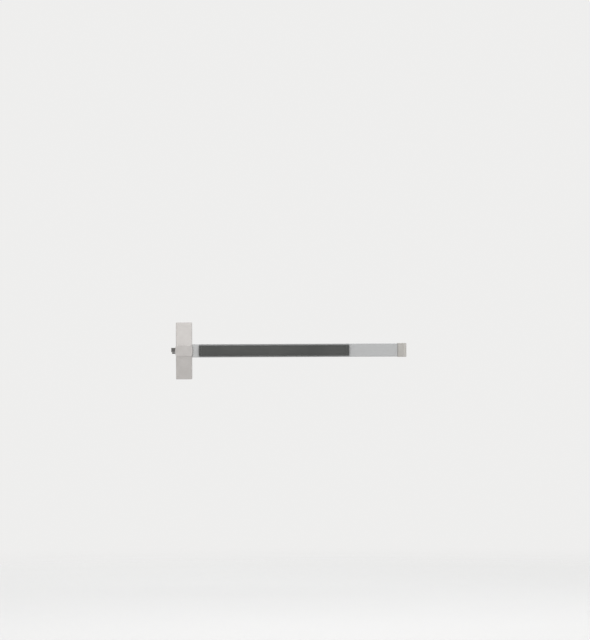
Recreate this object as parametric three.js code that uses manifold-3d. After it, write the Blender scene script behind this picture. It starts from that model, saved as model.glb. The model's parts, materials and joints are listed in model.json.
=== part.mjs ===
// Rim exit device: latch case, push pad in its rail, and the linkage that joins them.
// Millimetres. The door's face is the plane Y = 0, with +Y into the door, +X along the rail
// away from the latch case, and +Z up. The origin is the middle of the latch case's back face.

import * as THREE from 'three';
import { mergeVertices } from 'three/addons/utils/BufferGeometryUtils.js';
import Module from 'manifold-3d';

const wasm = await Module();
wasm.setup();

// ---- Driving dimensions ----

const GAP = 0.3; // between neighbouring pieces
const SHEET = 2.5; // steel sheet of chassis and brackets
const WALL = 2.5; // wall of the castings and extrusions
const SIDES = 12; // flats around a small round

const HEAD = { width: 60, height: 215, edgeDepth: 46, midDepth: 58.5 };
const BAND = { height: 40.6, depth: 60.5, bulge: 3 };
const RAIL = { left: 28, right: 812, height: 49.8, depth: 38, lipDrop: 0.4, mouth: 39.3 };
const COVER = { front: 41, height: 48.8, left: [30.5, 56.1], right: [624.4, 806.1] };
const PAD = { left: 56.6, right: 623.9, height: 38.3, front: 60, back: 40, capLength: 9.6 };
const PAD_TRAVEL = 14;
const CARRIER = { left: 62, right: 618.5, height: 31.8, front: 56.8, back: 42, sheet: 2 };
const END_CAP = { left: 806.4, right: 840.3, height: 52.4, depth: 44.5 };

const CRANK_STATIONS = { left: 170, right: 500 };
const POST_STATIONS = { left: 110, right: 560 };
const CRANK = { depth: 30.8, padArm: 30, rodArm: 21.5, thickness: 6, hub: 6, nose: 3.6 };
const CRANK_TILT = Math.atan(PAD_TRAVEL / 2 / CRANK.padArm);
const LUG_PIN_DEPTH = CRANK.depth + PAD_TRAVEL / 2;
const LINK_PIN = 2.5; // radius of the crank and lug pins

const ROD = { left: 16, shoulder: 590, right: 656, width: 12, front: 11.3, back: 7.3, tail: 3 };
const ROD_AXIS = -(ROD.front + ROD.back) / 2;
const ROD_STOP = 640; // face of the bracket that the rod spring pushes on

const PIVOT = { x: -15, y: -13, pin: 3 }; // latch pivot
const LATCH = { low: -5, high: 11.4, swing: THREE.MathUtils.degToRad(75) };
const DEADLATCH = { low: -11.4, high: -5.6 };
const ROD_TRAVEL = 2 * CRANK.rodArm * Math.sin(CRANK_TILT);
const TAIL = { arm: ROD_TRAVEL / (2 * Math.sin(LATCH.swing / 2)), pin: 2, top: 18 };
const TAIL_X = -TAIL.arm * Math.sin(LATCH.swing / 2);
const TAIL_Y = -TAIL.arm * Math.cos(LATCH.swing / 2);
const LUG_LEVEL = { upper: [18, 20.5], lower: [-18, -15.5] }; // chassis lugs that hold the pin

const HEAD_SCREW = { x: 14, depth: 14 };
const CAP_SCREW = { x: 825, depth: 14 };
const TONGUE = { front: 5.3, back: 2.8 }; // tabs that lie on the rail's floor
const RAIL_SCREW = { x: 48, z: 15 }; // chassis to rail, above and below the bar's axis
const BRACKET_SCREW = { x: 798, z: 9 }; // end bracket to rail
const RETRACTOR_SCREW_X = 36;
const RIVET_Z = 13; // crank bracket rivets, above and below the bar's axis
const SCREW_HOLE = 2.3;
const RIVET_HOLE = 1.9;
const COVER_SCREW_HOLE = 2.1;
const COUNTERBORE = { radius: 3.8, depth: 1.6 };

// ---- Materials ----

const material = (color, roughness, metalness) => () =>
  new THREE.MeshStandardMaterial({ color, roughness, metalness });
const paintedCasting = material(0xc2bfb9, 0.5, 0.35);
const satinAluminium = material(0xbbbcb9, 0.42, 0.7);
const darkPad = material(0x54564f, 0.6, 0.1);
const zincSteel = material(0xa9aaa6, 0.4, 0.85);
const latchSteel = material(0x6f6d68, 0.38, 0.9);
const springSteel = material(0x8c8a86, 0.3, 0.95);
const rubber = material(0x262626, 0.85, 0);
const nylon = material(0xd8d4c8, 0.55, 0);

// ---- Solids ----

function solid(geometry) {
  const bare = geometry.clone();
  bare.deleteAttribute('normal');
  bare.deleteAttribute('uv');
  const merged = mergeVertices(bare, 1e-4);
  const vertProperties = new Float32Array(merged.attributes.position.array);
  const triVerts = new Uint32Array(merged.index.array);
  return new wasm.Manifold(new wasm.Mesh({ numProp: 3, vertProperties, triVerts }));
}

function geometryOf(body) {
  const { vertProperties, triVerts } = body.getMesh();
  const geometry = new THREE.BufferGeometry();
  geometry.setAttribute('position', new THREE.BufferAttribute(vertProperties, 3));
  geometry.setIndex(new THREE.BufferAttribute(triVerts, 1));
  return geometry;
}

const joined = (...bodies) => bodies.reduce((all, body) => all.add(body));
const cut = (body, ...tools) => tools.reduce((rest, tool) => rest.subtract(tool), body);

// A box between two opposite corners' coordinates on each axis.
function box([x0, x1], [y0, y1], [z0, z1]) {
  const geometry = new THREE.BoxGeometry(Math.abs(x1 - x0), Math.abs(y1 - y0), Math.abs(z1 - z0));
  return solid(geometry.translate((x0 + x1) / 2, (y0 + y1) / 2, (z0 + z1) / 2));
}

// Right-handed bases that carry an outline's own X, Y and depth to the part's axes.
const BASES = {
  x: [new THREE.Vector3(0, 1, 0), new THREE.Vector3(0, 0, 1), new THREE.Vector3(1, 0, 0)],
  y: [new THREE.Vector3(0, 0, 1), new THREE.Vector3(1, 0, 0), new THREE.Vector3(0, 1, 0)],
  z: [new THREE.Vector3(1, 0, 0), new THREE.Vector3(0, 1, 0), new THREE.Vector3(0, 0, 1)],
};

// An outline pulled along an axis. Outlines hold (y, z) along x, (z, x) along y and (x, y) along z.
function prism(axis, outline, from, to, bevel = 0) {
  const shape = outline instanceof THREE.Shape ? outline : polygon(outline);
  const geometry = new THREE.ExtrudeGeometry(shape, {
    depth: to - from - 2 * bevel,
    curveSegments: 10,
    bevelEnabled: bevel > 0,
    bevelThickness: bevel,
    bevelSize: bevel,
    bevelOffset: -bevel,
    bevelSegments: 1,
  });
  geometry.translate(0, 0, from + bevel);
  return solid(geometry.applyMatrix4(new THREE.Matrix4().makeBasis(...BASES[axis])));
}

const polygon = (points) => new THREE.Shape(points.map(([a, b]) => new THREE.Vector2(a, b)));

// A round bar along an axis, between two places on it, centred at (a, b) on the other two axes
// in x, y, z order.
function bar(axis, radius, from, to, [a, b], sides = SIDES) {
  const geometry = new THREE.CylinderGeometry(radius, radius, Math.abs(to - from), sides);
  const middle = (from + to) / 2;
  if (axis === 'x') return solid(geometry.rotateZ(-Math.PI / 2).translate(middle, a, b));
  if (axis === 'y') return solid(geometry.translate(a, middle, b));
  return solid(geometry.rotateX(Math.PI / 2).translate(a, b, middle));
}

// A turned piece: profile points are (radius, height), the height running along +Z.
function turned(profile, sides = 10) {
  const points = profile.map(([radius, height]) => new THREE.Vector2(radius, height));
  return new THREE.LatheGeometry(points, sides).rotateX(Math.PI / 2);
}

// A screw or rivet with its head's face at height 0 and its shank below.
function screwGeometry(headRadius, headHeight, shankRadius, length) {
  return turned([
    [0, -length],
    [shankRadius, -length],
    [shankRadius, -headHeight],
    [headRadius, -headHeight],
    [headRadius, -0.4],
    [headRadius - 0.4, 0],
    [0, 0],
  ]);
}

// A hole with a counterbore in a wall that ends at height `face`, above (1) or below (-1) the axis.
function coverScrewHole(way, face, at) {
  return joined(
    bar('z', COVER_SCREW_HOLE, way * (face - 5), way * (face + 1), at),
    bar('z', COUNTERBORE.radius, way * (face - COUNTERBORE.depth), way * (face + 1), at),
  );
}

class Helix extends THREE.Curve {
  constructor(radius, length, turns) {
    super();
    Object.assign(this, { radius, length, turns });
  }

  getPoint(t, target = new THREE.Vector3()) {
    const angle = 2 * Math.PI * this.turns * t;
    return target.set(
      this.radius * Math.cos(angle),
      this.radius * Math.sin(angle),
      this.length * t,
    );
  }
}

// A coil spring along +Z, standing on height 0 and `length` tall over its wire.
function springGeometry(radius, wire, length, turns) {
  const section = polygon([0, 1, 2, 3, 4].map((corner) => {
    const angle = (2 * Math.PI * corner) / 5;
    return [wire * Math.cos(angle), wire * Math.sin(angle)];
  }));
  const extrudePath = new Helix(radius, length - 2 * wire, turns);
  const geometry = new THREE.ExtrudeGeometry(section, { steps: Math.round(turns * 9), extrudePath });
  return geometryOf(solid(geometry.translate(0, 0, wire)));
}

// ---- Head ----

function headProfile(inset) {
  const end = HEAD.height / 2 - inset;
  const band = BAND.height / 2;
  const edge = -(HEAD.edgeDepth - inset);
  const chamfer = 2;
  return [
    [3, -end],
    [3, end],
    [edge + chamfer, end],
    [edge, end - chamfer],
    [-(HEAD.midDepth - inset), band],
    [-(HEAD.midDepth - inset), -band],
    [edge, -end + chamfer],
    [edge + chamfer, -end],
  ].reverse();
}

// The band seen from the front: straight top and bottom, arched sides.
function bandOutline(inset) {
  const half = BAND.height / 2 - inset;
  const side = HEAD.width / 2 - inset;
  const crown = side + BAND.bulge;
  const outline = new THREE.Shape();
  outline.moveTo(-half, -side);
  outline.quadraticCurveTo(0, -2 * crown + side, half, -side);
  outline.lineTo(half, side);
  outline.quadraticCurveTo(0, 2 * crown - side, -half, side);
  outline.closePath();
  return outline;
}

function headCover() {
  const side = HEAD.width / 2;
  const top = HEAD.height / 2;
  const inner = side - WALL;
  const shell = joined(
    prism('x', headProfile(0), -side, side, 1.5),
    prism('y', bandOutline(0), -BAND.depth, 3, 0.8),
  );
  const hollow = joined(
    prism('x', headProfile(WALL), -inner, inner),
    prism('y', bandOutline(WALL), -BAND.depth + WALL, 4),
  );
  const behind = box([-50, 50], [-GAP, 10], [-top - 5, top + 5]);
  const latchSlot = box([-40, -inner + 1], [-47.5, -3.5], [-12.2, 12.2]);
  const mouthHalf = RAIL.height / 2 + 0.5;
  const railMouth = box([inner - 1, 40], [-RAIL.depth - 0.6, 5], [-mouthHalf, mouthHalf]);
  const screwHoles = [];
  for (const x of [-HEAD_SCREW.x, HEAD_SCREW.x]) {
    for (const end of [-1, 1]) {
      screwHoles.push(coverScrewHole(end, top, [x, -HEAD_SCREW.depth]));
    }
  }
  return geometryOf(cut(shell, hollow, behind, latchSlot, railMouth, ...screwHoles));
}

function headChassis() {
  const side = HEAD.width / 2 - WALL - 0.7;
  const end = HEAD.height / 2 - WALL - 0.7;
  const flange = 12;
  const pieces = [box([-side, side], [-SHEET, 0], [-end, end])];
  for (const way of [-1, 1]) {
    for (const edge of [-1, 1]) {
      pieces.push(box(
        [edge * (side - SHEET), edge * side],
        [-flange, -1],
        [way * 30, way * end],
      ));
    }
    pieces.push(box([-22, 22], [-24, -1], [way * (end - SHEET), way * end]));
    const [low, high] = way > 0 ? LUG_LEVEL.upper : LUG_LEVEL.lower;
    pieces.push(box([-24, -8], [-21, -1], [low, high]));
    pieces.push(box([18, 26], [-TONGUE.front, -1], [way * 9, way * 21]));
    pieces.push(box([25, 60], [-TONGUE.front, -TONGUE.back], [way * 9, way * 21]));
  }
  const holes = [bar('z', PIVOT.pin + GAP, -25, 25, [PIVOT.x, PIVOT.y])];
  for (const way of [-1, 1]) {
    holes.push(bar('y', SCREW_HOLE, -10, 1, [RAIL_SCREW.x, way * RAIL_SCREW.z]));
    for (const x of [-1, 1]) {
      const at = [x * HEAD_SCREW.x, -HEAD_SCREW.depth];
      holes.push(bar('z', COVER_SCREW_HOLE, way * (end - 5), way * (end + 5), at));
      holes.push(bar('y', 3.4, -5, 1, [x * 15, way * 82]));
    }
    holes.push(box([-9, 9], [-5, 1], [way * 42, way * 66]));
  }
  return geometryOf(cut(joined(...pieces), ...holes));
}

function latchPin() {
  const groove = LUG_LEVEL.lower[0] - 1.3;
  return turned([
    [0, groove - 1.2],
    [PIVOT.pin - 0.5, groove - 1.2],
    [PIVOT.pin, groove - 0.7],
    [PIVOT.pin, groove],
    [PIVOT.pin - 0.8, groove],
    [PIVOT.pin - 0.8, groove + 0.8],
    [PIVOT.pin, groove + 0.8],
    [PIVOT.pin, LUG_LEVEL.upper[1] + GAP],
    [PIVOT.pin + 1.6, LUG_LEVEL.upper[1] + GAP],
    [PIVOT.pin + 1.6, LUG_LEVEL.upper[1] + 1.6],
    [PIVOT.pin + 1.2, LUG_LEVEL.upper[1] + 2],
    [0, LUG_LEVEL.upper[1] + 2],
  ], SIDES);
}

// Open retaining ring in the pin's groove, with a gap for fitting it.
function latchPinClip() {
  const ring = bar('z', PIVOT.pin + 2, -0.2, 0.2, [0, 0]);
  const bore = bar('z', PIVOT.pin - 0.8 + GAP, -1, 1, [0, 0]);
  const mouth = box([-1.6, 1.6], [-8, 0], [-1, 1]);
  return geometryOf(cut(ring, bore, mouth));
}

// ---- Latch ----

// Outline about the pivot: a flat strike face towards the door, a bevel towards the room
// and a lobe for the tail pin.
function boltBody(nose, thickness) {
  const arm = prism('z', [
    [0, 7],
    [-nose + 3, 6.5],
    [-nose, 3],
    [-nose, -1],
    [-nose + 12, -9.5],
    [TAIL_X, TAIL_Y - 4.2],
    [4, -6],
  ], 0, thickness);
  return joined(arm, bar('z', 7, 0, thickness, [0, 0]));
}

function latchBolt() {
  const height = LATCH.high - LATCH.low;
  const bore = bar('z', PIVOT.pin + GAP, -1, height + 1, [0, 0]);
  const tailHole = bar('z', TAIL.pin + GAP, height - 6, height + 1, [TAIL_X, TAIL_Y]);
  return geometryOf(cut(boltBody(34, height), bore, tailHole));
}

function deadlatchBolt() {
  const height = DEADLATCH.high - DEADLATCH.low;
  const bore = bar('z', PIVOT.pin + GAP, -1, height + 1, [0, 0]);
  return geometryOf(cut(boltBody(31, height), bore));
}

function latchTailPin() {
  const bottom = LATCH.high - 6 + GAP;
  return turned([
    [0, bottom],
    [TAIL.pin, bottom],
    [TAIL.pin, TAIL.top - 0.8],
    [TAIL.pin - 0.5, TAIL.top - GAP],
    [0, TAIL.top - GAP],
  ]);
}

// ---- Rail and covers ----

function railProfile() {
  const out = RAIL.height / 2;
  const inn = out - WALL;
  const lip = RAIL.mouth / 2;
  const front = -RAIL.depth;
  return [
    [0, -out],
    [0, out],
    [front, out],
    [front + RAIL.lipDrop, lip],
    [front + RAIL.lipDrop + 2, lip],
    [front + 2.6, inn],
    [-WALL, inn],
    [-WALL, -inn],
    [front + 2.6, -inn],
    [front + RAIL.lipDrop + 2, -lip],
    [front + RAIL.lipDrop, -lip],
    [front, -out],
  ].reverse();
}

function railChannel() {
  const holes = [];
  for (const way of [-1, 1]) {
    holes.push(bar('y', SCREW_HOLE, -5, 1, [RAIL_SCREW.x, way * RAIL_SCREW.z]));
    holes.push(bar('y', SCREW_HOLE, -5, 1, [BRACKET_SCREW.x, way * BRACKET_SCREW.z]));
    for (const station of Object.values(CRANK_STATIONS)) {
      holes.push(bar('y', RIVET_HOLE, -5, 1, [station, way * RIVET_Z], 8));
    }
  }
  return geometryOf(cut(prism('x', railProfile(), RAIL.left, RAIL.right), ...holes));
}

// A cover plate on the rail's lips, with a clip leg behind each lip.
function railCover([left, right]) {
  const half = COVER.height / 2;
  const seat = -RAIL.depth - GAP;
  const plate = prism('x', [
    [seat, -half],
    [seat, half],
    [-COVER.front + 0.8, half],
    [-COVER.front, half - 0.8],
    [-COVER.front, -half + 0.8],
    [-COVER.front + 0.8, -half],
  ].reverse(), left, right);
  const legs = [-1, 1].map((way) => joined(
    box([left, right], [seat - 1, -30], [way * 17.2, way * 19.2]),
    box([left, right], [-33.4, -31.4], [way * 19, way * 21]),
  ));
  return joined(plate, ...legs);
}

// The short cover, its edge curved round the head's band.
function leftRailCover() {
  const band = prism('y', bandOutline(-GAP - 0.2), -BAND.depth, 0);
  return geometryOf(cut(railCover(COVER.left), band));
}

// ---- Pad ----

// The pad's section: a channel with two shallow grooves along its face and hooked edges.
function padProfile() {
  const out = PAD.height / 2;
  const inn = out - 2.8;
  const face = -PAD.front;
  const groove = (at) => [[face, at - 0.6], [face + 0.5, at], [face, at + 0.6]];
  return [
    [-PAD.back, -out],
    [-PAD.back, -inn + 2],
    [-PAD.back - 1.6, -inn + 2],
    [-PAD.back - 1.6, -inn],
    [face + 2.8, -inn],
    [face + 2.8, inn],
    [-PAD.back - 1.6, inn],
    [-PAD.back - 1.6, inn - 2],
    [-PAD.back, inn - 2],
    [-PAD.back, out],
    [face + 1.2, out],
    [face, out - 1.2],
    ...groove(14.7).reverse(),
    ...groove(-13).reverse(),
    [face, -out + 1.2],
    [face + 1.2, -out],
  ];
}

const pushPad = () => geometryOf(
  prism('x', padProfile(), PAD.left + PAD.capLength + GAP, PAD.right - PAD.capLength - GAP),
);

// An end piece drawn for the right end, running from x = 0 to its outer face.
function padCap() {
  const half = PAD.height / 2;
  const body = prism('x', [
    [-PAD.back, -half],
    [-PAD.back, half],
    [-PAD.front + 1.2, half],
    [-PAD.front, half - 1.2],
    [-PAD.front, -half + 1.2],
    [-PAD.front + 1.2, -half],
  ].reverse(), 0, PAD.capLength);
  const pocket = box([-1, PAD.capLength - 3], [-PAD.front + 2.8, 0], [-half + 2.8, half - 2.8]);
  return geometryOf(cut(body, pocket));
}

function padCarrier() {
  const half = CARRIER.height / 2;
  const web = -CARRIER.front + CARRIER.sheet;
  return geometryOf(prism('x', [
    [-CARRIER.front, -half],
    [-CARRIER.back, -half],
    [-CARRIER.back, -half + CARRIER.sheet],
    [web, -half + CARRIER.sheet],
    [web, half - CARRIER.sheet],
    [-CARRIER.back, half - CARRIER.sheet],
    [-CARRIER.back, half],
    [-CARRIER.front, half],
  ], CARRIER.left, CARRIER.right));
}

// Clevis under the carrier, drawn about its pin's place along the rail.
function padLug() {
  const seat = -CARRIER.front + CARRIER.sheet + GAP;
  const ears = [-1, 1].map((way) => joined(
    box([-6, 6], [seat, -LUG_PIN_DEPTH], [way * 3.5, way * 5.9]),
    bar('z', 4.6, way * 3.5, way * 5.9, [0, -LUG_PIN_DEPTH]),
  ));
  const base = box([-9, 9], [seat, seat + 2.4], [-10, 10]);
  const hole = bar('z', LINK_PIN + GAP, -9, 9, [0, -LUG_PIN_DEPTH]);
  return geometryOf(cut(joined(base, ...ears), hole));
}

// ---- Linkage ----

// Right-angle lever about its pivot, in the middle of its stroke: the pad arm along -X, the
// rod arm along +Y.
function bellCrank() {
  const half = CRANK.thickness / 2;
  const padEnd = -CRANK.padArm;
  const slotPlay = 1.6;
  const plate = joined(
    box([padEnd, 0], [-4.8, 4.8], [-half, half]),
    bar('z', 5.4, -half, half, [padEnd - 0.4, 0]),
    box([-2.8, 2.8], [0, CRANK.rodArm], [-half, half]),
    bar('z', CRANK.nose, -half, half, [0, CRANK.rodArm]),
    bar('z', CRANK.hub, -5.8, 5.8, [0, 0]),
  );
  const width = LINK_PIN + GAP;
  return geometryOf(cut(
    plate,
    bar('z', width, -9, 9, [0, 0]),
    bar('z', width, -9, 9, [padEnd, 0]),
    bar('z', width, -9, 9, [padEnd - slotPlay / 2, 0]),
    box([padEnd - slotPlay / 2, padEnd], [-width, width], [-9, 9]),
  ));
}

function crankBracket() {
  const ears = [-1, 1].map((way) => joined(
    box([-7, 7], [-CRANK.depth, -3], [way * 6.4, way * 8.4]),
    bar('z', 5.2, way * 6.4, way * 8.4, [0, -CRANK.depth]),
  ));
  const base = box([-8, 8], [-4.8, -TONGUE.back], [-17, 17]);
  const holes = [-1, 1].map((way) => bar('y', RIVET_HOLE, -9, 0, [0, way * RIVET_Z], 8));
  const pivot = bar('z', LINK_PIN + GAP, -12, 12, [0, -CRANK.depth]);
  return geometryOf(cut(joined(base, ...ears), pivot, ...holes));
}

const crankPin = () => turned([
  [0, -10.4],
  [LINK_PIN - 0.5, -10.4],
  [LINK_PIN, -9.9],
  [LINK_PIN, 8.7],
  [LINK_PIN + 1.6, 8.7],
  [LINK_PIN + 1.6, 10.4],
  [0, 10.4],
]);

const lugPin = () => turned([
  [0, -7.6],
  [LINK_PIN, -7.6],
  [LINK_PIN, 6.2],
  [LINK_PIN + 1.2, 6.2],
  [LINK_PIN + 1.2, 7.6],
  [0, 7.6],
]);

// Flat bar with a window for each crank's nose, its far end turned down for the spring.
function pullRod() {
  const half = ROD.width / 2;
  const strip = box([ROD.left + 1, ROD.shoulder], [-ROD.front, -ROD.back], [-half, half]);
  const tail = bar('x', ROD.tail, ROD.shoulder - 1, ROD.right, [ROD_AXIS, 0], 12);
  const restShift = -CRANK.rodArm * Math.sin(CRANK_TILT);
  const windows = Object.values(CRANK_STATIONS).map((station) => {
    const middle = station + restShift;
    return box([middle - CRANK.nose - 0.4, middle + CRANK.nose + 0.4], [-15, 0], [-3.5, 3.5]);
  });
  const flatTail = cut(tail, box([0, 700], [-ROD.front - 2, -ROD.front], [-9, 9]));
  const screwHole = bar('y', SCREW_HOLE, -15, 0, [RETRACTOR_SCREW_X, 0]);
  return geometryOf(cut(joined(strip, flatTail), ...windows, screwHole));
}

// Stepped hook between the rod and the latch's tail pin, with a notch open towards the door.
function retractor() {
  const foot = [-ROD.front - GAP - SHEET, -ROD.front - GAP];
  const pinX = PIVOT.x + TAIL_X;
  const level = [15.4, 17.6];
  const body = joined(
    box([14, 44], foot, [-6, 6]),
    box([14, 16.5], [-26.8, foot[1]], [-6, level[1]]),
    box([pinX - 5, 16.5], [-26.8, -16.6], level),
  );
  const notch = box([pinX - TAIL.pin - 0.5, pinX + TAIL.pin + 0.5], [-23.6, -16], [14, 20]);
  return geometryOf(cut(body, notch, bar('y', SCREW_HOLE, -20, 0, [RETRACTOR_SCREW_X, 0])));
}

// Block that the rod slides through, with a round post that stops the pad.
function guidePost() {
  const block = box([-12, 12], [-15, -TONGUE.back], [-12, 12]);
  const window = box([-13, 13], [-ROD.front - 0.4, -ROD.back + 0.4], [-6.4, 6.4]);
  return geometryOf(cut(joined(block, bar('y', 5, -30, -14, [0, 0])), window));
}

function padBumper() {
  return turned([
    [0, 0],
    [6, 0],
    [6, 8],
    [4.6, 10],
    [0, 10],
  ], SIDES);
}

function rodSpringBracket() {
  const upright = box([0, SHEET], [-17, -TONGUE.back], [-11, 11]);
  const foot = box([0, 22], [-TONGUE.front, -TONGUE.back], [-11, 11]);
  const hole = bar('x', ROD.tail + 0.5, -2, 6, [ROD_AXIS, 0]);
  return geometryOf(cut(joined(upright, foot), hole));
}

// ---- Hinge end ----

function endBracket() {
  const plate = box([812.6, 837], [-3, 0], [-22.8, 22.8]);
  const tongue = box([786, 816], [-TONGUE.front, -TONGUE.back], [-16, 16]);
  const ears = [-1, 1].map((way) => box([817, 833], [-22, -1], [way * 20.3, way * 22.8]));
  const holes = [];
  for (const way of [-1, 1]) {
    holes.push(bar('z', COVER_SCREW_HOLE, way * 18, way * 25, [CAP_SCREW.x, -CAP_SCREW.depth]));
    holes.push(bar('y', SCREW_HOLE, -9, 0, [BRACKET_SCREW.x, way * BRACKET_SCREW.z]));
    holes.push(bar('y', 3.3, -9, 1, [825, way * 11]));
  }
  return geometryOf(cut(joined(plate, tongue, ...ears), ...holes));
}

function endCap() {
  const half = END_CAP.height / 2;
  const outline = (inset) => [
    [END_CAP.left - (inset ? 1 : 0), 2],
    [END_CAP.left - (inset ? 1 : 0), -41.8 + inset],
    [END_CAP.left + 3.2, -END_CAP.depth + inset],
    [END_CAP.right - 10, -END_CAP.depth + inset],
    [END_CAP.right - inset, -34 + inset / 2],
    [END_CAP.right - inset, 2],
  ];
  const shell = prism('z', outline(0), -half, half, 1.2);
  const hollow = prism('z', [
    [RAIL.right + 0.5, 3],
    [RAIL.right + 0.5, -END_CAP.depth + WALL],
    ...outline(WALL).slice(3),
  ], -half + WALL, half - WALL);
  const railMouth = box(
    [END_CAP.left - 5, RAIL.right + 0.6],
    [-RAIL.depth - GAP, 3],
    [-RAIL.height / 2 - GAP, RAIL.height / 2 + GAP],
  );
  const behind = box([END_CAP.left - 5, END_CAP.right + 5], [-GAP, 9], [-half - 5, half + 5]);
  const screwHoles = [];
  for (const end of [-1, 1]) {
    screwHoles.push(coverScrewHole(end, half, [CAP_SCREW.x, -CAP_SCREW.depth]));
  }
  return geometryOf(cut(shell, hollow, railMouth, behind, ...screwHoles));
}

// ---- Assembly ----

function place(group, name, geometry, finish, position = [0, 0, 0], rotation = [0, 0, 0]) {
  const mesh = new THREE.Mesh(geometry, finish());
  mesh.name = name;
  mesh.position.set(...position);
  mesh.rotation.set(...rotation);
  group.add(mesh);
}

// Rotations that turn a piece drawn along +Z.
const FACE_ROOM = [Math.PI / 2, 0, 0]; // +Z to -Y
const FACE_DOWN = [Math.PI, 0, 0]; // +Z to -Z
const ALONG_RAIL = [0, Math.PI / 2, 0]; // +Z to +X
const TURNED_BACK = [0, Math.PI, 0]; // a right-hand piece for the left end

const coverScrew = () => screwGeometry(3.5, 1.3, 1.8, 7);
const panScrew = () => screwGeometry(3.5, 2, 2, 7);
const rivet = () => screwGeometry(2.8, 1.2, 1.6, 5.8);
const EDGES = Object.entries({ upper: 1, lower: -1 });

function headGroup() {
  const head = new THREE.Group();
  place(head, 'head_chassis', headChassis(), zincSteel);
  place(head, 'head_cover', headCover(), paintedCasting);
  const end = HEAD.height / 2 - 0.1;
  let number = 1;
  for (const way of [1, -1]) {
    for (const x of [-HEAD_SCREW.x, HEAD_SCREW.x]) {
      const turn = way > 0 ? [0, 0, 0] : FACE_DOWN;
      place(head, `head_cover_screw_${number}`, coverScrew(), zincSteel,
        [x, -HEAD_SCREW.depth, way * end], turn);
      number += 1;
    }
  }
  place(head, 'latch_pin', latchPin(), zincSteel, [PIVOT.x, PIVOT.y, 0]);
  place(head, 'latch_pin_clip', latchPinClip(), springSteel,
    [PIVOT.x, PIVOT.y, LUG_LEVEL.lower[0] - 0.9]);
  place(head, 'latch_bolt', latchBolt(), latchSteel, [PIVOT.x, PIVOT.y, LATCH.low]);
  place(head, 'latch_tail_pin', latchTailPin(), zincSteel, [PIVOT.x + TAIL_X, PIVOT.y + TAIL_Y, 0]);
  place(head, 'deadlatch_bolt', deadlatchBolt(), latchSteel, [PIVOT.x, PIVOT.y, DEADLATCH.low]);
  const torsion = () => springGeometry(4.1, 0.5, 3, 2);
  place(head, 'latch_spring', torsion(), springSteel, [PIVOT.x, PIVOT.y, LATCH.high + GAP]);
  place(head, 'deadlatch_spring', torsion(), springSteel, [PIVOT.x, PIVOT.y, DEADLATCH.low - GAP - 3]);
  return head;
}

function railGroup() {
  const rail = new THREE.Group();
  place(rail, 'rail_channel', railChannel(), satinAluminium);
  place(rail, 'rail_cover_left', leftRailCover(), satinAluminium);
  place(rail, 'rail_cover_right', geometryOf(railCover(COVER.right)), satinAluminium);
  const screwSeat = -TONGUE.front - GAP - 2;
  for (const [edge, way] of EDGES) {
    place(rail, `rail_joint_screw_${edge}`, panScrew(), zincSteel,
      [RAIL_SCREW.x, screwSeat, way * RAIL_SCREW.z], FACE_ROOM);
    place(rail, `end_bracket_screw_${edge}`, panScrew(), zincSteel,
      [BRACKET_SCREW.x, screwSeat, way * BRACKET_SCREW.z], FACE_ROOM);
  }
  const springLength = -15 - GAP + CARRIER.front - CARRIER.sheet - GAP;
  for (const [side, station] of Object.entries(POST_STATIONS)) {
    place(rail, `guide_post_${side}`, guidePost(), nylon, [station, 0, 0]);
    place(rail, `pad_bumper_${side}`, padBumper(), rubber, [station, -30 - GAP, 0], FACE_ROOM);
    place(rail, `pad_spring_${side}`, springGeometry(8.6, 0.9, springLength, 7), springSteel,
      [station, -15 - GAP, 0], FACE_ROOM);
  }
  place(rail, 'rod_spring_bracket', rodSpringBracket(), zincSteel, [ROD_STOP, 0, 0]);
  place(rail, 'end_bracket', endBracket(), zincSteel);
  place(rail, 'end_cap', endCap(), paintedCasting);
  const capEnd = END_CAP.height / 2 - 0.1;
  place(rail, 'end_cap_screw_top', coverScrew(), zincSteel, [CAP_SCREW.x, -CAP_SCREW.depth, capEnd]);
  place(rail, 'end_cap_screw_bottom', coverScrew(), zincSteel, [CAP_SCREW.x, -CAP_SCREW.depth, -capEnd],
    FACE_DOWN);
  return rail;
}

function padGroup() {
  const pad = new THREE.Group();
  place(pad, 'pad_carrier', padCarrier(), zincSteel);
  place(pad, 'push_pad', pushPad(), darkPad);
  place(pad, 'pad_cap_right', padCap(), darkPad, [PAD.right - PAD.capLength, 0, 0]);
  place(pad, 'pad_cap_left', padCap(), darkPad, [PAD.left + PAD.capLength, 0, 0], TURNED_BACK);
  for (const [side, station] of Object.entries(CRANK_STATIONS)) {
    const pinX = station - CRANK.padArm;
    place(pad, `pad_lug_${side}`, padLug(), zincSteel, [pinX, 0, 0]);
    place(pad, `lug_pin_${side}`, lugPin(), zincSteel, [pinX, -LUG_PIN_DEPTH, 0]);
  }
  return pad;
}

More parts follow.
